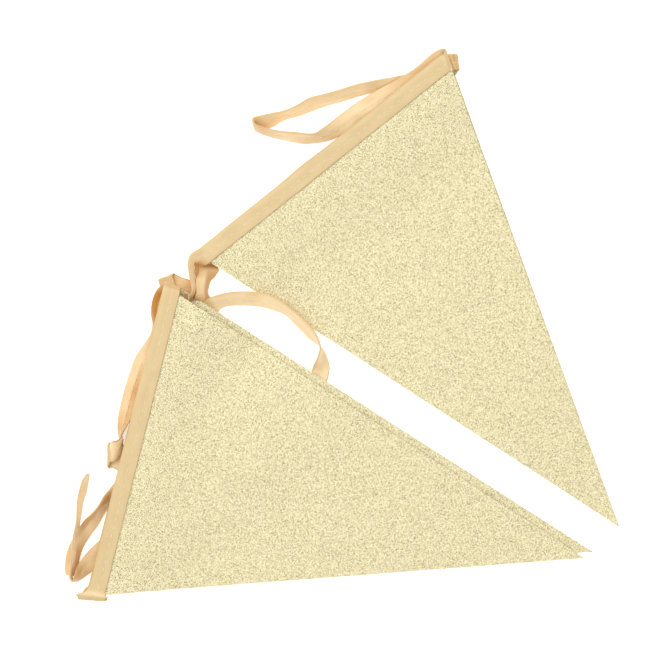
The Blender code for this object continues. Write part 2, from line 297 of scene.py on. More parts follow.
@dataclass(frozen=True)
class GlitterCloth:
    """Cloth with a felt back, coated with fine pale gold polyester glitter, cut with a raw edge.

    The coat gives a dense grain of bright, middling and dark specks with no weave showing.
    """

    name: str = "pale_gold_glitter_cloth"
    grain_mm: float = 0.34
    relief_mm: float = 0.12
    dark: str = "#8E8255"
    middle: str = "#DED2A2"
    bright: str = "#FFF4CC"

    def material(self) -> Material:
        """Build the material.

        Returns:
            The coat: cells of random tone, each tilted its own way; the tones are partly the coat's own and
                partly painted glints, as if each cell caught the light at its own angle.
        """
        look = Look(self.name)
        links = {"Vector": look.place(), "Scale": 1 / (self.grain_mm * MM)}
        cells = look.node("ShaderNodeTexVoronoi", links, feature="F1").outputs
        # The cells' tones: partly the coat's own, partly painted glints.
        tones = ((0.05, self.dark), (0.4, self.middle), (0.8, self.bright))
        return look.finished(
            {
                "Base Color": look.ramp(cells["Color"], *tones),
                "Normal": look.bump(cells["Distance"], 0.5, self.relief_mm),
                "Roughness": 0.5,
                "Metallic": 0.15,
            }
        )


@dataclass(frozen=True)
class GlitterFlakes:
    """Loose-laid polyester flakes, punched hexagons with a metallised face.

    Each one is tilted its own way; its tone, from near white to olive, is painted at random: painted glints
    standing in for the light each catches at its own angle.
    """

    name: str = "pale_gold_glitter_flakes"
    size_mm: float = 0.44
    smallest: float = 0.72
    largest: float = 1.15
    per_mm2: float = 2.0
    tilt_deg: float = 20.0
    lift_mm: float = 0.05
    first_seed: int = 40
    lean_seed: int = 3
    size_seed: int = 5
    painted_glint_seed: int = 7
    # Painted glints: a flake's tone is drawn at random from these, as if it caught the light at its own
    # angle.
    tones: tuple[tuple[float, str], ...] = (
        (0.0, "#5C5128"),
        (0.17, "#A99C68"),
        (0.3, "#DCCF9E"),
        (0.6, "#F0E5B8"),
        (1.0, "#FFFBE2"),
    )

    def material(self) -> Material:
        """Build the material.

        Returns:
            The metallised face, whose tone follows each flake's own random value: painted glints.
        """
        look = Look(self.name)
        tone = look.ramp(look.stored("glint"), *self.tones)
        return look.finished({"Base Color": tone, "Roughness": 0.42, "Metallic": 0.2})


@dataclass(frozen=True)
class SatinRibbon:
    """Woven polyester satin ribbon in apricot, folded lengthwise and pressed.

    Fine threads across it give a soft sheen along its length. Folds, edges and shaded places are painted in a
    darker, more orange shade, and its colours are painted duller where it holds a pennant.
    """

    name: str = "apricot_satin_ribbon"
    face: str = "#F1D4A2"
    light: str = "#FBE1B4"
    # Painted shade: a duller copy of the face colours, used where the ribbon holds a pennant and round flat
    # folds.
    dimmed_face: str = "#D6BC8A"
    dimmed_light: str = "#DDC594"
    # Painted shade: the colour that folds, edges and creases turn to.
    painted_shade_colour: str = "#C0822E"
    rib_mm: float = 0.42
    relief_mm: float = 0.05
    clouds_along: float = 0.09
    clouds_across: float = 0.3

    def material(self) -> Material:
        """Build the material.

        Returns:
            The ribbon's cloth on its own UV map, in millimetres along and across it.
        """
        look = Look(self.name)
        across = look.out("ShaderNodeUVMap", uv_map="ribbon")
        scale = (self.clouds_along, self.clouds_across, 1.0)
        stretched = look.out("ShaderNodeMapping", {"Vector": across, "Scale": scale})
        clouds = look.mottle(stretched, 1.0, Detail=3.0)
        face = look.ramp(clouds, (0.3, self.face), (0.72, self.light))
        dimmed_tone = look.ramp(clouds, (0.3, self.dimmed_face), (0.72, self.dimmed_light))
        # Painted shade: glitter cloth inside keeps light from shining through, so where the ribbon holds a
        # pennant, and round its flat folds, it takes the duller copy of its colours.
        whole = look.mixed(look.stored("backing"), face, dimmed_tone)
        # The real ribs are about 0.2 mm apart; a picture of the whole bunting shows none so fine.
        ribs = look.bands(across, self.rib_mm, 0.6, "X")
        grain = look.mottle(across, 1.4, Detail=4.0)
        height = look.out("ShaderNodeMath", {0: ribs, 1: grain}, operation="ADD")
        return look.finished(
            {
                # Painted shade: the colour turns toward the shade colour round folds, along the open edges,
                # in noise creases and where the route tables set it.
                "Base Color": look.mixed(look.stored("fold_depth"), whole, linear(self.painted_shade_colour)),
                "Normal": look.bump(height, 0.35, self.relief_mm),
                "Roughness": 0.48,
                "Specular IOR Level": 0.35,
                "Sheen Weight": 0.25,
                "Sheen Roughness": 0.4,
            }
        )


@dataclass(frozen=True)
class SewingThread:
    """Spun polyester sewing thread, paler than the ribbon, pulled slightly into it."""

    name: str = "pale_sewing_thread"
    colour: str = "#F6E3BE"
    shaded: str = "#EBD3A4"
    twist_mm: float = 0.6

    def material(self) -> Material:
        """Build the material.

        Returns:
            Matt thread with a fine slanted twist, its grooves painted in the shaded colour.
        """
        look = Look(self.name)
        twist = look.bands(look.place(), self.twist_mm * MM, 1.0, "DIAGONAL")
        # Painted shade: the twist's grooves take the shaded colour.
        tone = look.ramp(twist, (0.0, self.shaded), (0.5, self.colour))
        return look.finished({"Base Color": tone, "Roughness": 0.75})


@dataclass(frozen=True)
class PaleBoard:
    """Smooth white-painted board under the bunting, lit softly from within the paint."""

    name: str = "white_painted_board"
    colour: str = "#F8F8F8"
    shaded: str = "#F6F6F6"
    glow: float = 0.5

    def material(self) -> Material:
        """Build the material.

        Returns:
            Matt white with the faintest mottle.
        """
        look = Look(self.name)
        tone = look.ramp(look.mottle(look.place(), 9.0), (0.3, self.shaded), (0.7, self.colour))
        return look.finished(
            {"Base Color": tone, "Roughness": 0.9, "Emission Color": WHITE, "Emission Strength": self.glow}
        )


# ---- the lay's tables


class Stack(Enum):
    """Where a pennant lies in its stack."""

    LOWER = "lower"
    UPPER = "upper"


class Cut(NamedTuple):
    """One pennant's outline on the surface.

    far_corner, near_corner    where its edges leave the ribbon
    tip                        its point
    held                       middle height of the ribbon at the far and at the near corner
    """

    name: str
    far_corner: tuple[float, float]
    near_corner: tuple[float, float]
    tip: tuple[float, float]
    stack: Stack
    held: tuple[float, float]


CUTS = (
    Cut("right_lower", (58.5, 135.2), (-67.9, 34.1), (146.8, -107.0), Stack.LOWER, (3.0, 3.4)),
    Cut("right_upper", (57.6, 135.2), (-70.3, 33.5), (146.6, -106.9), Stack.UPPER, (7.9, 6.7)),
    Cut("left_lower", (-85.4, 19.4), (-126.6, -139.2), (132.6, -120.1), Stack.LOWER, (3.6, 3.3)),
    Cut("left_upper", (-86.3, 16.0), (-126.1, -142.7), (128.3, -123.4), Stack.UPPER, (9.2, 6.4)),
)


class Row(NamedTuple):
    """One section of the ribbon.

    x, y    its middle in plan
    lift    height of its lowest edge
    toward  plan direction, in degrees, from its middle to its folded edge
    lean    how far the folded edge stands up, in degrees: 0 lies flat, 90 is on edge
    spread  its width, as a share of the folded ribbon's
    shade   its painted shade, 0 to 1, darker in folds and in the shadow of other strands
    cup     how far its middle line stands above its edges
    cast    extra painted shade on the half beside the folded edge; below 0, on the other half
    """

    x: float
    y: float
    lift: float
    toward: float
    lean: float = 0.0
    spread: float = 1.0
    shade: float = 0.0
    cup: float = 0.0
    cast: float = 0.0


class Fold(NamedTuple):
    """A flat fold: the ribbon turns over its own cross line, whose middle is x, y."""

    x: float
    y: float
    start_height: float
    end_height: float
    toward: float
    shade: float = 0.3
    spread: float = 1.0


class Bound(NamedTuple):
    """A straight stretch that holds the pennant of that cut, from one corner to the other."""

    cut: str
    start: tuple[float, float]
    end: tuple[float, float]
    toward: float
    bow: float = 0.0


FRONT_TAIL = (
    #    x       y     lift  toward lean
    Row(-134.6, -78.6, 0.3, 196, 62, 0.2),
    Row(-136, -82.4, 0.5, 184, 66, 0.75, 0.1),
    Row(-137.2, -87.6, 0.8, 176, 70, 1, 0.2),
    Row(-138.5, -93.6, 2.6, 173, 75, 1, 0.2),
    Row(-139.4, -103.2, 4.4, 172, 82, 1, 0.2),
    Row(-141.2, -113, 4.2, 170, 81, 1, 0.12),
    Row(-142.4, -123.4, 2.9, 172, 82, 1, 0.12),
    Row(-143.3, -131, 1.8, 170, 84, 1, 0.12),
    Row(-143.2, -134, 1.6, 158, 86),
    Row(-141.9, -135.5, 1.6, 148, 84, 1, 0.3),
    Row(-140.2, -133.8, 1.6, 138, 70, 1, 0.6),
    Row(-138, -130.6, 1.3, 134, 46, 1, 0.3, 0.4, 0.4),
    Row(-134, -125.8, 0.3, 131, 18),
    Row(-129.6, -121.2, 0.1, 130),
    Row(-122, -114.3, 0.1, 128),
)

UNDER_LEFT_STACK = (
    Row(-102, -99.6, 0.1, 127),
    Row(-62.2, -70, 0.1, 127),
    Row(-25.1, -43.5, 0.1, 130),
)

MIDDLE_LOOP = (
    Row(-13.6, -30.6, 0.1, 155),
    Row(-11.7, -24.6, 0.1, 170, 3),
    Row(-10.9, -18.6, 0.4, 188, 48),
    Row(-11.6, -11.8, 0.7, 200, 88),
    Row(-16.4, -5, 1, 45, 60),
    Row(-22.5, 1.6, 1.2, 51, 57),
    Row(-28.8, 7.4, 1.4, 54, 60),
    Row(-35.9, 11.3, 1.4, 62, 48),
    Row(-41.4, 13.2, 1.4, 75, 43),
    Row(-46.6, 14, 1.2, 86, 42),
    Row(-55.3, 14.2, 1, 96, 42),
    Row(-62.2, 13.4, 1.4, 108, 44),
    Row(-67, 11.6, 1.8, 120, 36),
)

TO_RIGHT_STACK = (
    Fold(-71.6, 8.4, 2.7, 0.9, 148),
    Row(-73, 12.6, 0.8, 166, 26, 1, 0.5, 0.5, -0.2),
    Row(-73.8, 16.6, 1.4, 177, 52, 1, 0.15, 1, -0.6),
    Row(-73.6, 20.6, 1.6, 180, 44, 1, 0.12, 1.6, -0.65),
    Row(-73, 24, 1.7, 180, 34, 1, 0.1, 2.2, -0.65),
    Row(-72, 27.4, 1.3, 178, 12, 1.1, 0.25, 2.2, -0.35),
    Row(-70.9, 30.2, 1.1, 170, 4, 1.2, 0.45, 1.4, 0.3),
    Row(-70.9, 32.4, 1, 158, 2, 1.1, 1, 0.6),
)

UPPER_LOOP = (
    Row(57.2, 139, 2.3, 119, 0, 1, 0.6),
    Row(58.4, 139.2, 2.3, 112, 0, 0.96, 0.1),
    Row(59.5, 139.3, 2.3, 105, 0, 0.94, 0.65),
    Fold(61.1, 139.2, 2.7, 0.9, 98, 0.12, 0.9),
    Row(57.4, 136.3, 0.15, 105, 0, 1, 0.1),
    Row(53.8, 133.2, 0.1, 107),
    Row(45.8, 131.4, 0.1, 107),
    Row(35.8, 128.6, 0.1, 107),
    Row(26.4, 126.9, 0.1, 106, 30),
    Row(18.1, 126.4, 0.3, 104, 52),
    Row(8.4, 124.4, 0.4, 105, 53),
    Row(-0.2, 121.7, 0.4, 106, 53),
    Row(-9, 119.2, 0.4, 107, 52),
    Row(-16.6, 116.9, 0.4, 110, 46),
    Row(-23, 113.7, 0.4, 112, 57),
    Row(-31.2, 110.9, 0.4, 106, 64),
    Row(-39, 108.2, 0.3, 98, 44),
    Row(-44, 107.4, 0.3, 95, 50, 1, 0.1),
    Row(-47, 106.9, 0.3, 98, 62, 1, 0.3),
    Row(-46.6, 105, 0.3, 100, 68, 1, 0.4),
    Row(-42.4, 102.9, 0.3, 98, 68, 1, 0.5),
    Row(-37.6, 101.4, 0.3, 90, 68, 1, 0.3),
    Row(-31.5, 100.2, 0.3, 82, 65),
    Row(-25, 99.3, 0.3, 85, 58),
    Row(-19.6, 98.7, 0.3, 92, 58),
    Row(-14, 99, 0.3, 106, 60),
    Row(-7, 101.9, 0.3, 118, 34),
    Row(0.8, 107.2, 0.9, 127, 8),
    Row(9.5, 113.4, 4.5, 128),
    Row(20.4, 120.1, 4.62, 127, 0, 1, 0.1),
    Row(33.2, 127, 4.7, 125, 0, 1, 0.3),
    Row(43, 133.6, 4.7, 124, 0, 1, 0.4),
    Row(49.6, 139.4, 4.8, 121, 6, 1, 0.4),
    Row(52.6, 141.2, 5, 114, 8, 1, 0.3),
    Fold(56, 140.4, 5.25, 7.95, 108, 0.1),
)

KNOT = (
    Row(-78.6, 32.9, 4.6, 154, 52, 1, 0.2, 0, -0.8),
    Row(-78.8, 28.8, 3.6, 168, 60, 1, 0.15, 0, -0.5),
    Row(-78.4, 24.6, 3, 180, 64, 1, 0.1, 0, -0.6),
    Row(-77.7, 20.8, 2.8, 188, 69, 1, 0.15, 0, -0.7),
    Row(-77.5, 17.6, 3.2, 198, 62, 1, 0.6, 0, -0.4),
    Fold(-79, 13.7, 4.9, 3.4, 224, 0.6, 0.85),
    Row(-82.6, 18.8, 2.6, 240, 0, 1, 0.6),
    Row(-87, 20.6, 2, 246, 0, 1, 0.25),
    Fold(-93.4, 25.4, 2.2, 3.6, 202, 0.25, 0.78),
)

STACK_FOLD = (
    Row(-131.5, -141, 2.6, 168, 0, 1.08, 0.4),
    Fold(-132.4, -145.3, 3.3, 6.4, 176, 0.1, 1.6),
    Row(-130.9, -142.2, 5.75, 169, 0, 1.1),
)

REAR_TAIL = (
    Fold(-89.8, 21.2, 9.2, 6.3, 160, 0.3),
    Row(-94.6, 15.4, 5.5, 159, 0, 1, 0.35, 0.7, 0.7),
    Row(-96.3, 10.6, 5.3, 163, -6, 1, 0.3, 0.7, 0.7),
    Row(-96.5, 5.4, 5.3, 166, -8, 1, 0.2, 0.7, 0.6),
    Row(-95.9, 0.6, 5.5, 166, 0, 1, 0.3, 0.6, 0.2),
    Row(-96.8, -5.4, 5.4, 160, 0, 1, 0.1),
    Row(-101, -12.6, 5.4, 152, 0, 1, 0.1),
    Row(-106.4, -20, 1.9, 153, -26, 1, 0.1, 0, -0.2),
    Row(-108.8, -26.4, 0.4, 155, -28, 1, 0.15, 0, -0.4),
    Row(-111.6, -35, 0.3, 162, -32, 1, 0.2, 0.6, -0.5),
    Row(-113.9, -43.9, 0.3, 166, -37, 1, 0.25, 0.8, -0.4),
    Row(-115.6, -50.9, 0.3, 170, -46, 1, 0.4, 0.8, -0.3),
    Row(-117, -55.9, 0.5, 172, -68, 1, 0.8, 0.4),
    Row(-117.4, -58.8, 0.7, 200, -78, 1, 0.7),
    Row(-116.4, -61.6, 0.9, 262, -62, 1, 0.4),
    Row(-116.8, -63.8, 1.4, 284, -48, 1, 0.3),
    Row(-119, -65.6, 2.2, 284, -34, 1, 0.15),
    Row(-121.6, -67.4, 2.6, 276, -14),
    Fold(-124.2, -69.4, 3, 0.75, 270, 0.1),
    Row(-120.4, -71.4, 0.1, 258),
    Row(-115.6, -74, 0.1, 235),
    Row(-113.2, -79.6, 0.1, 182),
    Row(-116.4, -85, 0.1, 150, 6),
    Row(-120.7, -90.5, 0.1, 143, 19, 1, 0.25, 0.2, 0.3),
    Row(-126.4, -95.8, 0.2, 141, 58, 1, 0.1, 0.6, 0.6),
    Row(-130.6, -101.2, 0.2, 140, 55, 1, 0, 1, 0.6),
    Row(-135, -106.8, 0.1, 140, 22, 0.8, 0.1, 0.7, 0.5),
    Row(-139, -113, 0.1, 143, 8, 0.74, 0.35, 0.6),
    Row(-141.8, -118.8, 0.1, 155, 2, 0.76, 0.28, 0.3, -0.4),
    Row(-143.2, -124, 0.1, 167, 0, 0.78, 0.25, 0.3, -0.4),
    Row(-143.6, -128.8, 0.1, 172, 0, 0.76, 0.28),
    Row(-143.4, -132.8, 0.1, 170, 0, 0.72, 0.28),
)

ROUTE = (
    *FRONT_TAIL,
    *UNDER_LEFT_STACK,
    *MIDDLE_LOOP,
    *TO_RIGHT_STACK,
    Bound("right_lower", (-70.4, 37.6), (55.4, 138.1), 128.6, 1.6),
    *UPPER_LOOP,
    Bound("right_upper", (53.3, 137.7), (-73.2, 36.6), 128.6),
    *KNOT,
    Bound("left_lower", (-91.1, 12.3), (-130.4, -139.8), 165.9),
    *STACK_FOLD,
    Bound("left_upper", (-129.6, -139.4), (-90.6, 16.8), 166.0),
    *REAR_TAIL,
)
STARTS_AT_NEAR_CORNER = ("right_lower", "left_upper")


class Section(NamedTuple):
    """A section of the ribbon in space, in millimetres.

    ruling   unit vector from its middle to its folded edge
    gap      what its slot holds
    folding  1 on the half circle of a flat fold
    """

    middle: Vector
    ruling: Vector
    gap: float
    spread: float = 1.0
    shade: float = 0.0
    cup: float = 0.0
    cast: float = 0.0
    folding: float = 0.0


class Station(NamedTuple):
    """A section with its place in the world, its normal, its width and the ribbon run before it."""

    section: Section
    middle: Vector
    normal: Vector
    width: float
    run: float


class Spot(NamedTuple):
    """A point of the ribbon's profile.

    side       1 on the upper ply, -1 on the lower one, 0 round the fold
    share      0 at the ply's open edge, 1 where the fold's roll starts
    across     its distance from the middle, toward the folded edge
    up         its height over the middle
    from_fold  its distance from the folded edge
    """

    side: int
    share: float
    across: float
    up: float
    from_fold: float


# ---- the ribbon

BOUND_SHARES = (0.0, 0.12, 0.28, 0.42, 0.56, 0.72, 0.88, 1.0)
PLY_SHARES = (0.0, 0.05, 0.18, 0.32, 0.45, 0.58, 0.72, 0.86, 1.0)

# Where in the noise each unevenness is read, so that no two are alike.
EDGE_SEED = 3.1
REVEAL_SEED = 7.7
PUCKER_SEED = 11.0
WRINKLE_SEED = 5.0
CREASE_SEED = 2.0
CLOTH_SEED = 17.0
NEAR_EDGE_SEED = 9.0


@dataclass
class FoldedRibbon:
    """The satin ribbon, folded lengthwise in two, along its whole route.

    Sizes are millimetres: width across the folded ribbon, ply its cloth, slot what it holds. The
    numbers after them say how its sections are spaced, how uneven it is and how much painted shade it
    gets, each pair first where the ribbon is free and then where it holds a pennant.
    """

    width: float = 9.2
    ply: float = 0.4
    free_slot: float = 0.16
    bound_slot: float = 1.1
    roll: float = 0.5
    flat_half: float = 0.65
    clear: float = 0.03
    clearance: float = 0.1

    step: float = 1.15
    step_deg: float = 5.0
    fold_steps: int = 9
    least_span: float = 0.3
    least_slant: float = 0.3
    bulge_share: float = 0.42
    bulge_reach: float = 0.3

    pucker: float = 0.16
    held_calm: float = 0.55
    pucker_size: tuple[float, float] = (5.5, 4.5)
    wrinkle: float = 0.5
    wrinkle_size: tuple[float, float] = (2.2, 2.6)
    wrinkle_slant: float = 3.0
    edge_calm: float = 0.6
    edge_waver: float = 0.16
    edge_waver_length: float = 9.0
    reveal: float = 0.28
    reveal_waver: float = 0.3
    reveal_waver_length: float = 34.0
    least_held: float = 0.02
    pinch: float = 0.2
    pinch_from: float = 0.7
    pinch_to: float = 1.9
    thin: float = 0.14
    pressed_edge: float = 0.12

    # Painted shade: its least value inside the slot, then at the folded edge, at the open edge and in noise
    # creases, each pair free and then held.
    inner_shade: float = 0.75
    fold_shade: tuple[float, float] = (0.4, 0.2)
    edge_shade: tuple[float, float] = (0.4, 0.16)
    crease_shade: tuple[float, float] = (0.25, 0.0)
    crease_size: tuple[float, float] = (12.0, 5.0)
    half_blend: float = 0.12

    seam: float = -0.7
    seam_reach: float = 0.75
    unsewn_fold: float = 0.3
    unsewn_spread: float = 0.95
    seam_dent: float = 0.09
    stitch_dent: float = 0.12
    stitch_pitch: float = 4.5
    stitch_length: float = 3.1
    thread: float = 0.4
    thread_sunk: float = 0.06

    def ruling(self, toward: float, lean: float = 0.0) -> Vector:
        """Give the unit vector from a section's middle to its folded edge.

        Args:
            toward: its direction in plan, in degrees.
            lean: how far it stands up, in degrees.

        Returns:
            The vector.
        """
        plan, rise = math.radians(toward), math.radians(lean)
        flat = math.cos(rise)
        return Vector((math.cos(plan) * flat, math.sin(plan) * flat, math.sin(rise)))

    def held(self, section: Section) -> float:
        """Say how far a section holds a pennant, 0 to 1."""
        return eased_step(section.gap, self.free_slot, self.bound_slot)

    def of_row(self, row: Row) -> Section:
        """Place one row of the tables in space.

        Args:
            row: the row.

        Returns:
            Its section, with its lowest edge at the stated lift.
        """
        rise = math.radians(row.lean)
        half = self.flat_half * abs(math.cos(rise)) + self.width / 2 * abs(math.sin(rise))
        middle = Vector((row.x, row.y, row.lift + half))
        ruling = self.ruling(row.toward, row.lean)
        return Section(middle, ruling, self.free_slot, row.spread, row.shade, row.cup, row.cast)

    def of_fold(self, fold: Fold, came_from: Vector) -> list[Section]:
        """Place the half circle of a flat fold.

        Args:
            fold: the fold.
            came_from: the last section's middle before it.

        Returns:
            Its sections, from the layer that arrives to the layer that leaves.
        """
        ruling = self.ruling(fold.toward)
        rise = (fold.end_height - fold.start_height) / 2
        radius = abs(rise)
        crest = Vector((fold.x, fold.y, 0.0))
        arriving = crest - Vector((came_from.x, came_from.y, 0.0))
        along = arriving.dot(ruling)
        outward = arriving - along * ruling
        shear = along / outward.length
        outward.normalize()
        sections = []
        for step in range(self.fold_steps):
            angle = math.pi * (step / (self.fold_steps - 1) - 0.5)
            place = crest + outward * radius * (math.cos(angle) - 1) + ruling * shear * radius * angle
            place.z = (fold.start_height + fold.end_height) / 2 + rise * math.sin(angle)
            sections.append(Section(place, ruling, self.free_slot, fold.spread, fold.shade, folding=1.0))
        return sections

    def of_bound(self, bound: Bound) -> list[Section]:
        """Place a straight stretch.

        Args:
            bound: the stretch.

        Returns:
            Its sections, with the slot open for the pennant.
        """
        heights = next(cut.held for cut in CUTS if cut.name == bound.cut)
        if bound.cut in STARTS_AT_NEAR_CORNER:
            heights = heights[::-1]
        ruling = self.ruling(bound.toward)
        sections = []
        for share in BOUND_SHARES:
            place = Vector(bound.start).lerp(Vector(bound.end), share)
            bulge = bound.bow * max(0.0, 1 - abs(share - self.bulge_share) / self.bulge_reach)
            middle = Vector((place.x, place.y, between(*heights, share))) + ruling * bulge
            sections.append(Section(middle, ruling, self.bound_slot))
        return sections

    def stated(self) -> list[Section]:
        """Collect every stated section.

        Returns:
            The sections, from one free end to the other.
        """
        sections: list[Section] = []
        for item in ROUTE:
            if isinstance(item, Row):
                sections.append(self.of_row(item))
            elif isinstance(item, Fold):
                sections.extend(self.of_fold(item, sections[-1].middle))
            else:
                sections.extend(self.of_bound(item))
        return sections

    def eased(self, window: tuple[Section, ...], share: float) -> Section:
        """Ease between the two middle sections of four.

        Args:
            window: the section before, the start, the end and the section after.
            share: how far from the start to the end, 0 to 1.

        Returns:
            The section there.
        """
        spans = [
            math.sqrt(max((second.middle - first.middle).length, self.least_span))
            for first, second in zip(window, window[1:])
        ]
        square, cube = share**2, share**3
        weights = (2 * cube - 3 * square + 1, cube - 2 * square + share, 3 * square - 2 * cube, cube - square)

        def blended(values: list[Vector]) -> Vector:
            """Run one cubic through four values.

            Args:
                values: what the four sections say.

            Returns:
                The value at the share.
            """
            slopes = [(second - first) / span for first, second, span in zip(values, values[1:], spans)]
            leaving = (slopes[0] * spans[1] + slopes[1] * spans[0]) / (spans[0] + spans[1]) * spans[1]
            arriving = (slopes[1] * spans[2] + slopes[2] * spans[1]) / (spans[1] + spans[2]) * spans[1]
            near = weights[0] * values[1] + weights[1] * leaving
            return near + weights[2] * values[2] + weights[3] * arriving

        return Section(
            blended([section.middle for section in window]),
            blended([section.ruling for section in window]).normalized(),
            *(between(first, second, share) for first, second in zip(window[1][2:], window[2][2:])),
        )

    def sections(self) -> list[Section]:
        """Fill the route with sections a step apart.

        Returns:
            Every section of the mesh.
        """
        stated = self.stated()
        fine = []
        for index in range(len(stated) - 1):
            start, end = stated[index], stated[index + 1]
            window = (stated[max(index - 1, 0)], start, end, stated[min(index + 2, len(stated) - 1)])
            turn = math.degrees(start.ruling.angle(end.ruling)) / self.step_deg
            parts = max(1, math.ceil((end.middle - start.middle).length / self.step), math.ceil(turn))
            fine.extend(self.eased(window, part / parts) for part in range(parts))
        fine.append(stated[-1])
        return fine

    def stations(self) -> list[Station]:
        """Set up every section of the ribbon.

        Returns:
            The stations, from one free end to the other.
        """
        sections = self.sections()
        stations = []
        run = 0.0
        for index, section in enumerate(sections):
            ahead = sections[min(index + 1, len(sections) - 1)].middle
            behind = sections[max(index - 1, 0)].middle
            run += (section.middle - behind).length
            travel = (ahead - behind).normalized()
            normal = travel.cross(section.ruling).normalized()
            slant = math.sqrt(max(1 - travel.dot(section.ruling) ** 2, self.least_slant))
            width = self.width * section.spread / slant
            reach = abs(section.ruling.z) * width / 2 + abs(normal.z) * (self.ply + section.gap / 2)
            middle = section.middle.copy()
            middle.z = max(middle.z, reach + self.clearance)
            stations.append(Station(section, middle - PLAN_CENTRE, normal, width, run))
        return stations

    def rounded(self, line: list[Spot], centre: float) -> list[Spot]:
        """Put the upper ply, the roll of the fold and the lower ply in one line.

        Args:
            line: both plies, each from its open edge to the roll.
            centre: where across the ribbon the roll's middle is.

        Returns:
            The line, from the upper ply's open edge to the lower ply's.
        """
        upper = [spot for spot in line if spot.side > 0]
        lower = [spot for spot in line if spot.side < 0][::-1]
        top, bottom = upper[-1].up, lower[0].up
        radius, level = (top - bottom) / 2, (top + bottom) / 2
        roll = [
            Spot(0, 1.0, centre + radius * math.sin(angle), level + radius * math.cos(angle), 0.0)
            for angle in (math.pi / 4, math.pi / 2, 3 * math.pi / 4)
        ]
        return [*upper, *roll, *lower]

    def profile(self, station: Station) -> tuple[list[Spot], list[Spot]]:
        """Draw the folded ribbon across.

        Args:
            station: the section, its width and its run.

        Returns:
            Its outer line and its inner line.
        """
        section, width, run = station.section, station.width, station.run
        held = self.held(section)
        calm = 1 - self.held_calm * held
        edge = self.edge_waver * uneven(run / self.edge_waver_length, EDGE_SEED, 0.0)
        reveal = self.reveal + self.reveal_waver * uneven(run / self.reveal_waver_length, REVEAL_SEED, 0.0)
        (long, wide), (short, narrow) = self.pucker_size, self.wrinkle_size
        outer, inner = [], []
        for side in (1, -1):
            reach = width + (0.0 if side > 0 else reveal) + edge
            for share in PLY_SHARES:
                across = width / 2 - self.roll - (reach - self.roll) * (1 - share)
                from_fold = width / 2 - across
                slot = section.gap / 2
                if held > self.least_held:
                    slot *= between(self.pinch, 1.0, eased_step(from_fold, self.pinch_from, self.pinch_to))
                crumple = uneven(run / long, across / wide, PUCKER_SEED * side)
                slanted = run / short + across / self.wrinkle_slant
                crumple += self.wrinkle * uneven(slanted, across / narrow, WRINKLE_SEED * side)
                flatter = 1 - abs(2 * share - 1) ** 4 * self.edge_calm
                rise = self.ply + self.pucker * calm * crumple * flatter
                beside = (across - self.seam) / self.seam_reach
                pull = 0.5 + 0.5 * math.cos(2 * math.pi * run / self.stitch_pitch)
                rise -= (self.seam_dent + self.stitch_dent * pull) * math.exp(-beside * beside)
                rise -= self.pressed_edge if share == 0.0 else 0.0
                crown = section.cup * (0.5 - abs(2 * across / width))
                for line, height in ((outer, slot + max(rise, self.thin)), (inner, slot)):
                    line.append(Spot(side, share, across, crown + side * height, from_fold))
        return self.rounded(outer, width / 2 - self.roll), self.rounded(inner, width / 2 - self.roll)

    def painted_shade_at(self, station: Station, spot: Spot) -> float:
        """Say how much painted shade a point gets: round the folded edge, along the open edge, in noise
        creases, and as its section's shade and cast say.

        Args:
            station: its section and width.
            spot: the point.

        Returns:
            The painted shade, from 0.
        """
        section, width = station.section, station.width
        held = self.held(section)
        rolled = between(*self.fold_shade, held) * (1 - eased_step(spot.from_fold, 0.0, 1.0))
        rolled += between(*self.edge_shade, held) * (spot.share == 0.0)
        long, wide = self.crease_size
        creased = uneven(station.run / long, spot.across / wide, CREASE_SEED * spot.side)
        creased = between(*self.crease_shade, held) * max(creased, 0.0)
        half = math.copysign(1.0, width / 2 - spot.from_fold)
        blend = eased_step(abs(spot.from_fold / width - 0.5), 0.0, self.half_blend)
        return max(section.shade + max(section.cast * half, 0.0) * blend + creased, rolled)

    def build(self, material: Material) -> tuple[Object, list[Station], float]:
        """Loft the ribbon.

        Args:
            material: the ribbon's material.

        Returns:
            The ribbon, the stations along it and its length in millimetres.
        """
        stations = self.stations()
        points, painted_shades, painted_dimmings, uvs, faces = [], [], [], [], []
        for station in stations:
            outer, inner = self.profile(station)
            # Painted shade: the duller copy of the colours where a pennant is held and round flat folds.
            backing = max(self.held(station.section), station.section.folding)
            arc = 0.0
            # Painted shade: inner faces, inside the slot, get at least the inner shade.
            for line, least_shade in ((outer, 0.0), (inner[::-1], self.inner_shade)):
                last = None
                for spot in line:
                    here = Vector((spot.across, spot.up))
                    arc += (here - last).length if last else 0.0
                    last = here
                    point = station.middle + station.section.ruling * spot.across + station.normal * spot.up
                    point.z = max(point.z, self.clear)
                    points.append(point * MM)
                    painted_shades.append(min(max(least_shade, self.painted_shade_at(station, spot)), 1.0))
                    painted_dimmings.append(backing)
                    uvs.append((station.run, arc))
        ring = len(outer) + len(inner)
        last_ring = len(points) - ring
        for first in range(0, last_ring, ring):
            second = first + ring
            for corner in range(ring):
                after = (corner + 1) % ring
                faces.append((first + corner, first + after, second + after, second + corner))
        for start, turn in ((0, 1), (last_ring, -1)):
            for corner in range(len(outer) - 1):
                far = start + ring - 1 - corner
                faces.append((start + corner, far, far - 1, start + corner + 1)[::turn])
        piece = new_piece("binding_ribbon", points, [], faces, material)
        layer = piece.data.uv_layers.new(name="ribbon")
        for loop in piece.data.loops:
            layer.data[loop.index].uv = uvs[loop.vertex_index]
        # The painted shade of folds, edges and creases, and the duller copy's share, for the material.
        mark(piece.data, "fold_depth", painted_shades)
        mark(piece.data, "backing", painted_dimmings)
        piece.data.shade_smooth()
        piece.data.update()
        return piece, stations, stations[-1].run

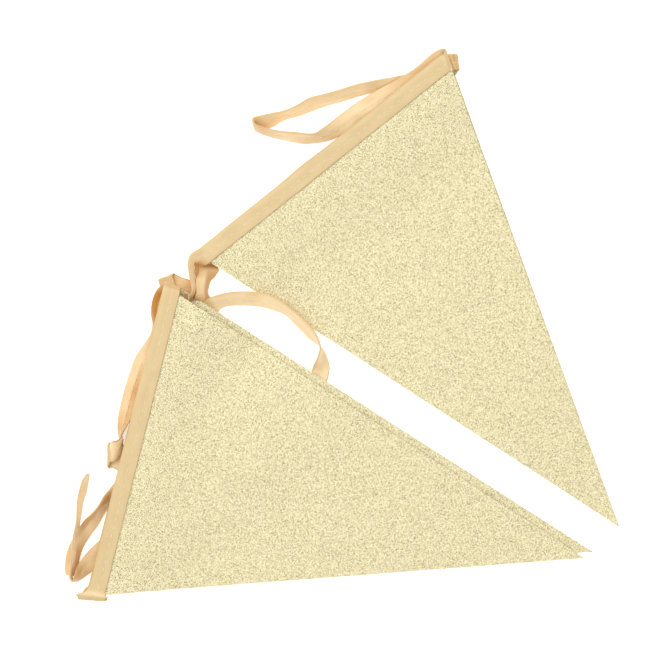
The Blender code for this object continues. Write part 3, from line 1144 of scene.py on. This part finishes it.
    def seam_lines(self, stations: list[Station]) -> Object:
        """Draw the seam lines that the running stitch follows on both faces.

        Args:
            stations: the stations along the ribbon.

        Returns:
            An object of bare edges whose points know which way is out of the cloth.
        """
        points, outward, edges = [], [], []
        for side in (1, -1):
            joined = False
            for section, middle, normal, *_ in stations:
                if section.folding > self.unsewn_fold or section.spread < self.unsewn_spread:
                    joined = False
                    continue
                rise = section.gap / 2 + self.ply - self.thread_sunk
                points.append((middle + section.ruling * self.seam + normal * side * rise) * MM)
                outward.extend(normal * side)
                if joined:
                    edges.append((len(points) - 2, len(points) - 1))
                joined = True
        piece = new_piece("running_stitch", points, edges, [])
        mark(piece.data, "outward", outward, "FLOAT_VECTOR")
        return piece

    def stitch(self, stations: list[Station], thread: Material) -> Object:
        """Sew the running stitch: one thread float at every pitch along the seam lines.

        Args:
            stations: the stations along the ribbon.
            thread: the thread's material.

        Returns:
            All the stitches as one plain mesh.
        """
        tree = Layout("running_stitch")
        curve = tree.out("GeometryNodeMeshToCurve", {"Mesh": tree.piece})
        spacing = {"Curve": curve, "Length": self.stitch_pitch * MM}
        along = {
            "Primary Axis": tree.out("GeometryNodeInputTangent"),
            "Secondary Axis": tree.named("outward", "FLOAT_VECTOR"),
        }
        axes = {"primary_axis": "X", "secondary_axis": "Z"}
        links = {
            "Points": tree.out("GeometryNodeResampleCurve", spacing, mode="LENGTH"),
            "Instance": tree.out("GeometryNodeMeshUVSphere", {"Segments": 8, "Rings": 6, "Radius": 0.5}),
            "Rotation": tree.out("FunctionNodeAxesToRotation", along, **axes),
            "Scale": (self.stitch_length * MM, self.thread * MM, self.thread * MM),
        }
        stitches = tree.out("GeometryNodeInstanceOnPoints", links)
        piece = tree.run_on(self.seam_lines(stations), stitches, thread)
        piece.data.shade_smooth()
        return piece


# ---- the pennants


@dataclass
class PennantCloth:
    """The four cut triangles of glitter cloth, each tucked into the ribbon.

    Sizes are millimetres. A pair of numbers is a near and a far distance for an eased step.
    """

    thickness: float = 0.5
    tuck: float = 6.4
    trim: float = 3.0
    drape: float = 46.0
    freed: float = 12.0
    stack_gap: float = 0.45
    solid_cloth: float = 1.0
    strand_ridge: float = 1.75
    strand_reach: tuple[float, float] = (13.0, 39.0)
    corner_lift: float = 3.8
    corner_reach: tuple[float, float] = (8.0, 34.0)
    rim: float = 1.5
    fray: float = 0.13
    fray_length: float = 3.5
    wave: float = 0.22
    wave_length: float = 31.0
    wave_reach: tuple[float, float] = (2.0, 20.0)
    columns: int = 62
    rows: int = 78
    crowding: float = 1.08
    judged_row: int = 20
    crease_deg: float = 50.0

    def height(self, cut: Cut, point: Vector, across: float, drop: float) -> float:
        """Give the cloth's middle height.

        Args:
            cut: the pennant.
            point: a place in plan.
            across: where it is from the far corner, 0, to the near corner, 1.
            drop: its distance from the ribbon.

        Returns:
            The height in millimetres.
        """
        held = between(*cut.held, across)
        draping = 1 - eased_step(drop, 0.0, self.drape)
        if cut.stack is Stack.UPPER:
            below = CUTS[CUTS.index(cut) - 1]
            spare = self.stack_gap + self.solid_cloth
            above = held - between(*below.held, across) - spare
            return self.height(below, point, across, drop) + spare + above * draping
        rises = [(held - self.solid_cloth / 2) * draping]
        if cut.name.startswith("left"):
            free = eased_step(drop, 0.0, self.freed)
            rises.extend(rise * free for rise in self.lifts(point))
        return self.solid_cloth / 2 + sum(rise**4 for rise in rises) ** 0.25

    def lifts(self, point: Vector) -> tuple[float, float]:
        """Say how far hidden ribbon lifts the left stack.

        Args:
            point: a place in plan.

        Returns:
            The lift of the strand under it and of the strands at its far corner.
        """
        run = [Vector((row.x, row.y)) for row in (*FRONT_TAIL[-2:], *UNDER_LEFT_STACK, MIDDLE_LOOP[0])]
        nearest = math.inf
        for first, second in zip(run, run[1:]):
            along = second - first
            share = min(max((point - first).dot(along) / along.length_squared, 0.0), 1.0)
            nearest = min(nearest, (point - first - along * share).length)
        corner = (point - Vector((TO_RIGHT_STACK[0].x, TO_RIGHT_STACK[0].y))).length
        ridge = self.strand_ridge * (1 - eased_step(nearest, *self.strand_reach))
        return ridge, self.corner_lift * (1 - eased_step(corner, *self.corner_reach))

    def covered(self, cut: Cut, point: Vector) -> bool:
        """Say whether the upper pennant of the stack hides a place of this one's top face.

        Args:
            cut: this pennant.
            point: a place in plan.

        Returns:
            Whether it does.
        """
        if cut.stack is Stack.UPPER:
            return False
        over = CUTS[CUTS.index(cut) + 1]
        corners = [Vector(corner) for corner in (over.far_corner, over.near_corner, over.tip)]
        centre = sum(corners, Vector((0.0, 0.0))) / 3
        for first, second in zip(corners, corners[1:] + corners[:1]):
            side = second - first
            across = Vector((-side.y, side.x)).normalized()
            if across.dot(centre - first) < 0:
                across.negate()
            if across.dot(point - first) < self.rim:
                return False
        return True

    def build(self, cut: Cut, material: Material) -> tuple[Object, tuple, float]:
        """Make one pennant.

        Args:
            cut: its outline.
            material: the glitter cloth.

        Returns:
            The pennant, its flat size in metres and its flat area in square metres.
        """
        far, near, tip = (Vector(corner) for corner in (cut.far_corner, cut.near_corner, cut.tip))
        base = near - far
        along_base = base.normalized()
        middle = (far + near) / 2
        inward = (tip - middle) - (tip - middle).dot(along_base) * along_base
        reach = inward.length
        inward.normalize()
        points, faces = [], []
        shares = [-self.tuck / reach, -0.5 * self.tuck / reach, 0.0]
        shares += [((row + 1) / self.rows) ** self.crowding for row in range(self.rows - 1)]
        seed = CLOTH_SEED * CUTS.index(cut)
        for share in shares:
            if share < 0:
                inset = self.trim * share * -reach / self.tuck
                left = far + along_base * inset + inward * share * reach
                right = near - along_base * inset + inward * share * reach
            else:
                left, right = far.lerp(tip, share), near.lerp(tip, share)
                run = share * reach / self.fray_length
                left += along_base * self.fray * uneven(run, seed, 0.0)
                right += along_base * self.fray * uneven(run, seed, NEAR_EDGE_SEED)
            for cell in range(self.columns + 1):
                place = left.lerp(right, cell / self.columns)
                across = min(max((place - far).dot(along_base) / base.length, 0.0), 1.0)
                drop = max((place - far).dot(inward), 0.0)
                wave = uneven(place.x / self.wave_length, place.y / self.wave_length, seed)
                wave *= self.wave * eased_step(drop, *self.wave_reach)
                height = self.height(cut, place, across, drop) + max(wave, 0.0)
                points.append((Vector((place.x, place.y, height)) - PLAN_CENTRE) * MM)
        stride = self.columns + 1
        for row in range(len(shares) - 1):
            for cell in range(self.columns):
                first = row * stride + cell
                faces.append((first, first + 1, first + stride + 1, first + stride))
        apex = len(points)
        points.append((Vector((tip.x, tip.y, self.height(cut, tip, 0.5, reach))) - PLAN_CENTRE) * MM)
        faces += [(cell, cell + 1, apex) for cell in range(apex - stride, apex - 1)]
        piece = new_piece(f"pennant_{cut.name}_cloth", points, [], faces, material)
        if piece.data.polygons[stride * self.judged_row].normal.z < 0:
            piece.data.flip_normals()
        thicken = piece.modifiers.new("cloth", "SOLIDIFY")
        thicken.thickness = self.thickness * MM
        thicken.offset = 0.0
        made_plain(piece)
        self.mark_seen(piece.data, cut, far, inward)
        piece.data.shade_smooth()
        piece.data.set_sharp_from_angle(angle=math.radians(self.crease_deg))
        flat = (base.length * MM, (reach + self.tuck) * MM)
        return piece, flat, (base.length * (reach / 2 + self.tuck)) * MM * MM

    def mark_seen(self, mesh: Mesh, cut: Cut, far: Vector, inward: Vector) -> None:
        """Mark where flakes are worth laying: outer faces, clear of ribbon and of the next pennant.

        Args:
            mesh: the finished cloth.
            cut: its outline.
            far: its far corner.
            inward: the direction away from the ribbon.
        """
        seen = []
        for vertex in mesh.vertices:
            place = Vector((vertex.co.x / MM, vertex.co.y / MM)) + PLAN_CENTRE.to_2d()
            outer = not self.covered(cut, place) if vertex.normal.z > 0 else cut.stack is Stack.LOWER
            seen.append(float(outer and (place - far).dot(inward) >= 0.0))
        mark(mesh, "seen", seen)

    def strew(self, cut: Cut, cloth: Object, flakes: GlitterFlakes, material: Material) -> Object:
        """Strew one pennant with tilted hexagonal flakes.

        Args:
            cut: the pennant's outline.
            cloth: its finished cloth.
            flakes: the flakes' sizes.
            material: the flakes' material.

        Returns:
            The flakes as one plain mesh.
        """
        tree = Layout("glitter_flakes")
        density = tree.times(tree.named("seen", "FLOAT"), flakes.per_mm2 / MM**2)
        links = {"Mesh": tree.piece, "Density": density, "Seed": flakes.first_seed + CUTS.index(cut)}
        strewn = tree.node("GeometryNodeDistributePointsOnFaces", links, distribute_method="RANDOM").outputs
        lift = {0: strewn["Normal"], "Scale": flakes.lift_mm * MM}
        lift = tree.out("ShaderNodeVectorMath", lift, operation="SCALE")
        tilt = math.radians(flakes.tilt_deg)
        lean = {0: (-tilt, -tilt, -math.pi), 1: (tilt, tilt, math.pi), "Seed": flakes.lean_seed}
        lean = tree.out("FunctionNodeRandomValue", lean, data_type="FLOAT_VECTOR")
        lean = tree.out("FunctionNodeEulerToRotation", {"Euler": lean})
        turn = {"Rotation": strewn["Rotation"], "Rotate By": lean}
        size = tree.chance(flakes.smallest, flakes.largest, flakes.size_seed)
        links = {
            "Points": tree.out("GeometryNodeSetPosition", {"Geometry": strewn["Points"], "Offset": lift}),
            "Instance": tree.out("GeometryNodeMeshCircle", {"Vertices": 6, "Radius": 0.5}, fill_type="NGON"),
            "Rotation": tree.out("FunctionNodeRotateRotation", turn, rotation_space="LOCAL"),
            "Scale": tree.times(size, flakes.size_mm * MM),
        }
        laid = tree.out("GeometryNodeInstanceOnPoints", links)
        # Each flake draws a random value that picks its painted tone: painted glints.
        glint = {"Geometry": laid, "Name": "glint", "Value": tree.chance(0.0, 1.0, flakes.painted_glint_seed)}
        kind = {"data_type": "FLOAT", "domain": "INSTANCE"}
        marked = tree.out("GeometryNodeStoreNamedAttribute", glint, **kind)
        return tree.run_on(new_object(f"pennant_{cut.name}_glitter", cloth.data.copy()), marked, material)


# ---- the studio


class Lamp(NamedTuple):
    """A soft square lamp that points at the middle, in metres and watts."""

    name: str
    place: tuple[float, float, float]
    size: float
    power: float


@dataclass
class Studio:
    """White board, soft light and a camera straight above, as in the photograph."""

    pixels: int = 670
    mm_per_pixel: float = 0.53
    origin_pixel: tuple[float, float] = (342.4, 325.0)
    camera_height: float = 1.9
    sensor: float = 36.0
    board: float = 3.0
    surround: float = 0.8
    lamps: tuple[Lamp, ...] = (
        Lamp("soft_key", (-0.75, 0.7, 1.25), 1.1, 11.0),
        Lamp("soft_fill", (0.9, -0.5, 1.3), 1.6, 3.0),
    )

    def camera(self) -> None:
        """Place the camera, looking straight down on the middle of the photograph's frame."""
        data = bpy.data.cameras.new("overhead")
        data.sensor_width = self.sensor
        data.lens = self.sensor * self.camera_height / (self.pixels * self.mm_per_pixel * MM)
        camera = new_object("overhead", data)
        across = (self.pixels / 2 - self.origin_pixel[0]) * self.mm_per_pixel
        back = (self.origin_pixel[1] - self.pixels / 2) * self.mm_per_pixel
        place = (Vector((across, back, 0.0)) - PLAN_CENTRE) * MM
        camera.location = (place.x, place.y, self.camera_height)
        bpy.context.scene.camera = camera

    def light(self) -> None:
        """Hang the soft lamps and set a white surround."""
        for name, place, size, power in self.lamps:
            data = bpy.data.lights.new(name, "AREA")
            data.size = size
            data.energy = power
            lamp = new_object(name, data)
            lamp.location = place
            lamp.rotation_euler = (-Vector(place)).to_track_quat("-Z", "Y").to_euler()
        world = bpy.data.worlds.new("white_surround")
        world.use_nodes = True
        background = world.node_tree.nodes["Background"]
        background.inputs["Color"].default_value = WHITE
        background.inputs["Strength"].default_value = self.surround
        bpy.context.scene.world = world
        bpy.context.scene.view_settings.view_transform = "Standard"

    def floor(self) -> None:
        """Lay the board."""
        half = self.board / 2
        corners = [(-half, -half, 0.0), (half, -half, 0.0), (half, half, 0.0), (-half, half, 0.0)]
        board = new_piece("white_board", corners, [], [(0, 1, 2, 3)], PaleBoard().material())


def main() -> None:
    """Build the bunting and set the studio."""
    logging.basicConfig(level=logging.INFO, format="%(name)s: %(message)s")
    studio = Studio()
    studio.camera()
    studio.floor()
    studio.light()

    ribbon = FoldedRibbon()
    tape, stations, length = ribbon.build(SatinRibbon().material())
    stitches = ribbon.stitch(stations, SewingThread().material())
    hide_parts("binding_tape")
    for piece in (tape, stitches):
        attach(piece, BODY)
    LOG.info("ribbon %.0f mm long, %d faces", length, len(tape.data.polygons))

    cloth = PennantCloth()
    flakes = GlitterFlakes()
    cloth_material, flake_material = GlitterCloth().material(), flakes.material()
    for cut in CUTS:
        pennant, flat, area = cloth.build(cut, cloth_material)
        glitter = cloth.strew(cut, pennant, flakes, flake_material)
        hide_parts(f"pennant_{cut.name}")
        for piece in (pennant, glitter):
            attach(piece, BODY)
        faces, strewn = len(pennant.data.polygons), len(glitter.data.polygons)
        LOG.info("%s: %d cloth faces, %d flakes", cut.name, faces, strewn)


if __name__ == "__main__":
    main()
